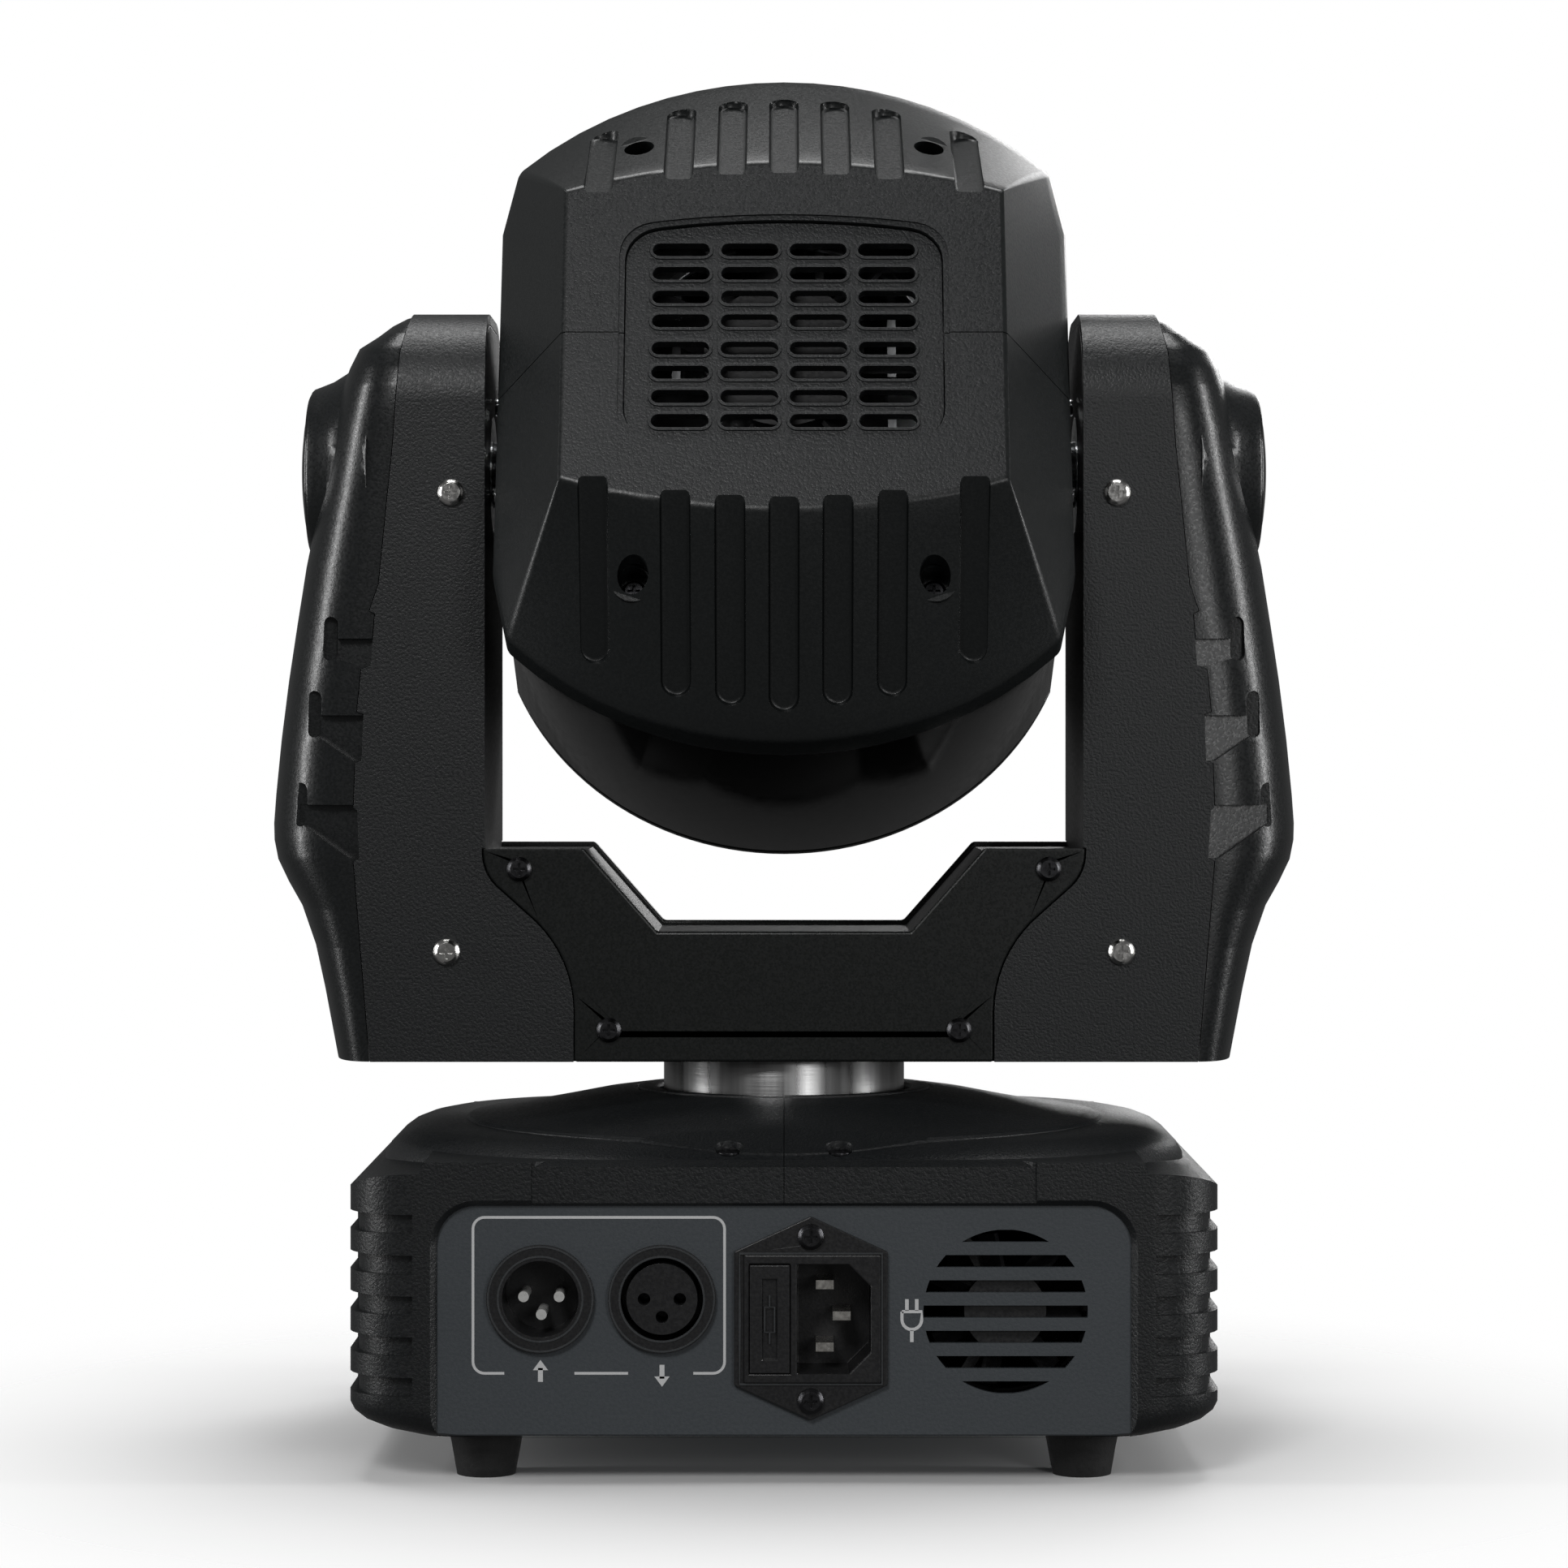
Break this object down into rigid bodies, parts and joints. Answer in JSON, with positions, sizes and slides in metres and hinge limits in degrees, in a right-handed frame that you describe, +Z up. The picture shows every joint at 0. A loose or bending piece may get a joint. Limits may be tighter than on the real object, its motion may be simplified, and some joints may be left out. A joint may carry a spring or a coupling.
{
  "type": "moving head light",
  "caption": "Compact moving head wash light: base with pan drive, two-arm yoke and tilting lamp head with a lens cluster.",
  "frame": {"origin": "on the floor under the feet, on the pan axis", "axes": "+Z up along the pan axis, -Y towards the connector side, +X to the right seen from the connector side"},
  "size_m": [0.245, 0.1723, 0.3266],
  "materials": {
    "textured_black": "fine spark texture",
    "satin_black": "satin",
    "gloss_black": "gloss",
    "panel_paint": "powder coat",
    "brushed_metal": "turned",
    "bright_screw": "nickel plate",
    "black_screw": "black oxide",
    "rubber_black": "matte",
    "contact_metal": "plated",
    "circuit_green": "solder mask",
    "circuit_white": "white solder mask",
    "bare_aluminium": "extruded",
    "bearing_steel": "ground",
    "motor_black": "satin paint",
    "belt_rubber": "matte",
    "fan_plastic": "moulded",
    "lens_clear": "clear",
    "window_dark": "tinted",
    "button_grey": "satin",
    "fuse_glass": "clear"
  },
  "bodies": {
    "base": {"base_chassis": "panel_paint", "base_cover_left": "textured_black", "base_cover_right": "textured_black", "rubber_feet": "rubber_black", "input_socket": "gloss_black", "input_socket_pins": "contact_metal", "output_socket": "gloss_black", "output_socket_core": "gloss_black", "mains_inlet": "gloss_black", "mains_inlet_blades": "contact_metal", "base_fan_frame": "fan_plastic", "power_supply": "circuit_green", "control_board": "circuit_green", "display_bezel": "gloss_black", "display_window": "window_dark", "pan_bearing_plate": "panel_paint", "pan_bearing": "bearing_steel", "pan_motor": "motor_black", "pan_belt": "belt_rubber", "base_screws": "black_screw"},
    "yoke": {"pan_spindle": "brushed_metal", "pan_driven_pulley": "bare_aluminium", "yoke_crossbeam": "panel_paint", "arm_plate_left": "panel_paint", "arm_plate_right": "panel_paint", "yoke_rear_cover": "satin_black", "yoke_front_cover": "satin_black", "arm_shell_left": "textured_black", "arm_shell_right": "textured_black", "arm_cover_left": "satin_black", "arm_cover_right": "satin_black", "hub_caps": "gloss_black", "tilt_bearings": "bearing_steel", "tilt_motor": "motor_black", "tilt_belt": "belt_rubber", "arm_screws": "bright_screw", "cover_screws": "black_screw"},
    "head": {"rear_shell_upper": "textured_black", "rear_shell_lower": "textured_black", "vent_grille": "satin_black", "head_fan_frame": "fan_plastic", "heat_sink": "bare_aluminium", "led_board": "circuit_white", "lenses": "lens_clear", "front_housing": "gloss_black", "front_bezel": "satin_black", "head_frame": "panel_paint", "trunnions": "bearing_steel", "tilt_driven_pulley": "bare_aluminium", "head_screws": "black_screw"},
    "fuse_holder": {"fuse_drawer": "gloss_black", "fuse": "fuse_glass"},
    "base_fan": {"base_fan_rotor": "fan_plastic"},
    "head_fan": {"head_fan_rotor": "fan_plastic"},
    "pan_motor_shaft": {"pan_motor_pulley": "bare_aluminium"},
    "tilt_motor_shaft": {"tilt_motor_pulley": "bare_aluminium"},
    "button_mode": {"menu_button_mode": "button_grey"},
    "button_down": {"menu_button_down": "button_grey"},
    "button_up": {"menu_button_up": "button_grey"},
    "button_enter": {"menu_button_enter": "button_grey"}
  },
  "joints": [
    {"name": "pan", "type": "hinge", "parent": "base", "child": "yoke", "pos_m": [0, 0, 0.06], "axis": [0, 0, 1], "range_deg": [-270, 270]},
    {"name": "tilt", "type": "hinge", "parent": "yoke", "child": "head", "pos_m": [0, 0, 0.2304], "axis": [1, 0, 0], "range_deg": [-21, 249]},
    {"name": "base_fan_spin", "type": "hinge", "parent": "base", "child": "base_fan", "pos_m": [0.0496, -0.075, 0.0386], "axis": [0, 1, 0], "continuous": true},
    {"name": "head_fan_spin", "type": "hinge", "parent": "head", "child": "head_fan", "pos_m": [0, 0, 0.2304], "axis": [0, 0.9135, -0.4067], "continuous": true},
    {"name": "pan_motor_spin", "type": "hinge", "parent": "base", "child": "pan_motor_shaft", "pos_m": [0.058, 0.03, 0.055], "axis": [0, 0, 1], "range_deg": [-1350, 1350]},
    {"name": "tilt_motor_spin", "type": "hinge", "parent": "yoke", "child": "tilt_motor_shaft", "pos_m": [0.0855, 0, 0.147], "axis": [1, 0, 0], "range_deg": [-84, 996]},
    {"name": "fuse_drawer_slide", "type": "slide", "parent": "base", "child": "fuse_holder", "axis": [0, -1, 0], "range_m": [0, 0.02]},
    {"name": "button_mode_press", "type": "slide", "parent": "base", "child": "button_mode", "axis": [0, -1, 0], "range_m": [0, 0.001], "stiffness_N_per_m": 400},
    {"name": "button_down_press", "type": "slide", "parent": "base", "child": "button_down", "axis": [0, -1, 0], "range_m": [0, 0.001], "stiffness_N_per_m": 400},
    {"name": "button_up_press", "type": "slide", "parent": "base", "child": "button_up", "axis": [0, -1, 0], "range_m": [0, 0.001], "stiffness_N_per_m": 400},
    {"name": "button_enter_press", "type": "slide", "parent": "base", "child": "button_enter", "axis": [0, -1, 0], "range_m": [0, 0.001], "stiffness_N_per_m": 400}
  ],
  "couplings": [
    {"joint": "pan_motor_spin", "follows": "pan", "ratio": 5},
    {"joint": "tilt_motor_spin", "follows": "tilt", "ratio": 4}
  ]
}
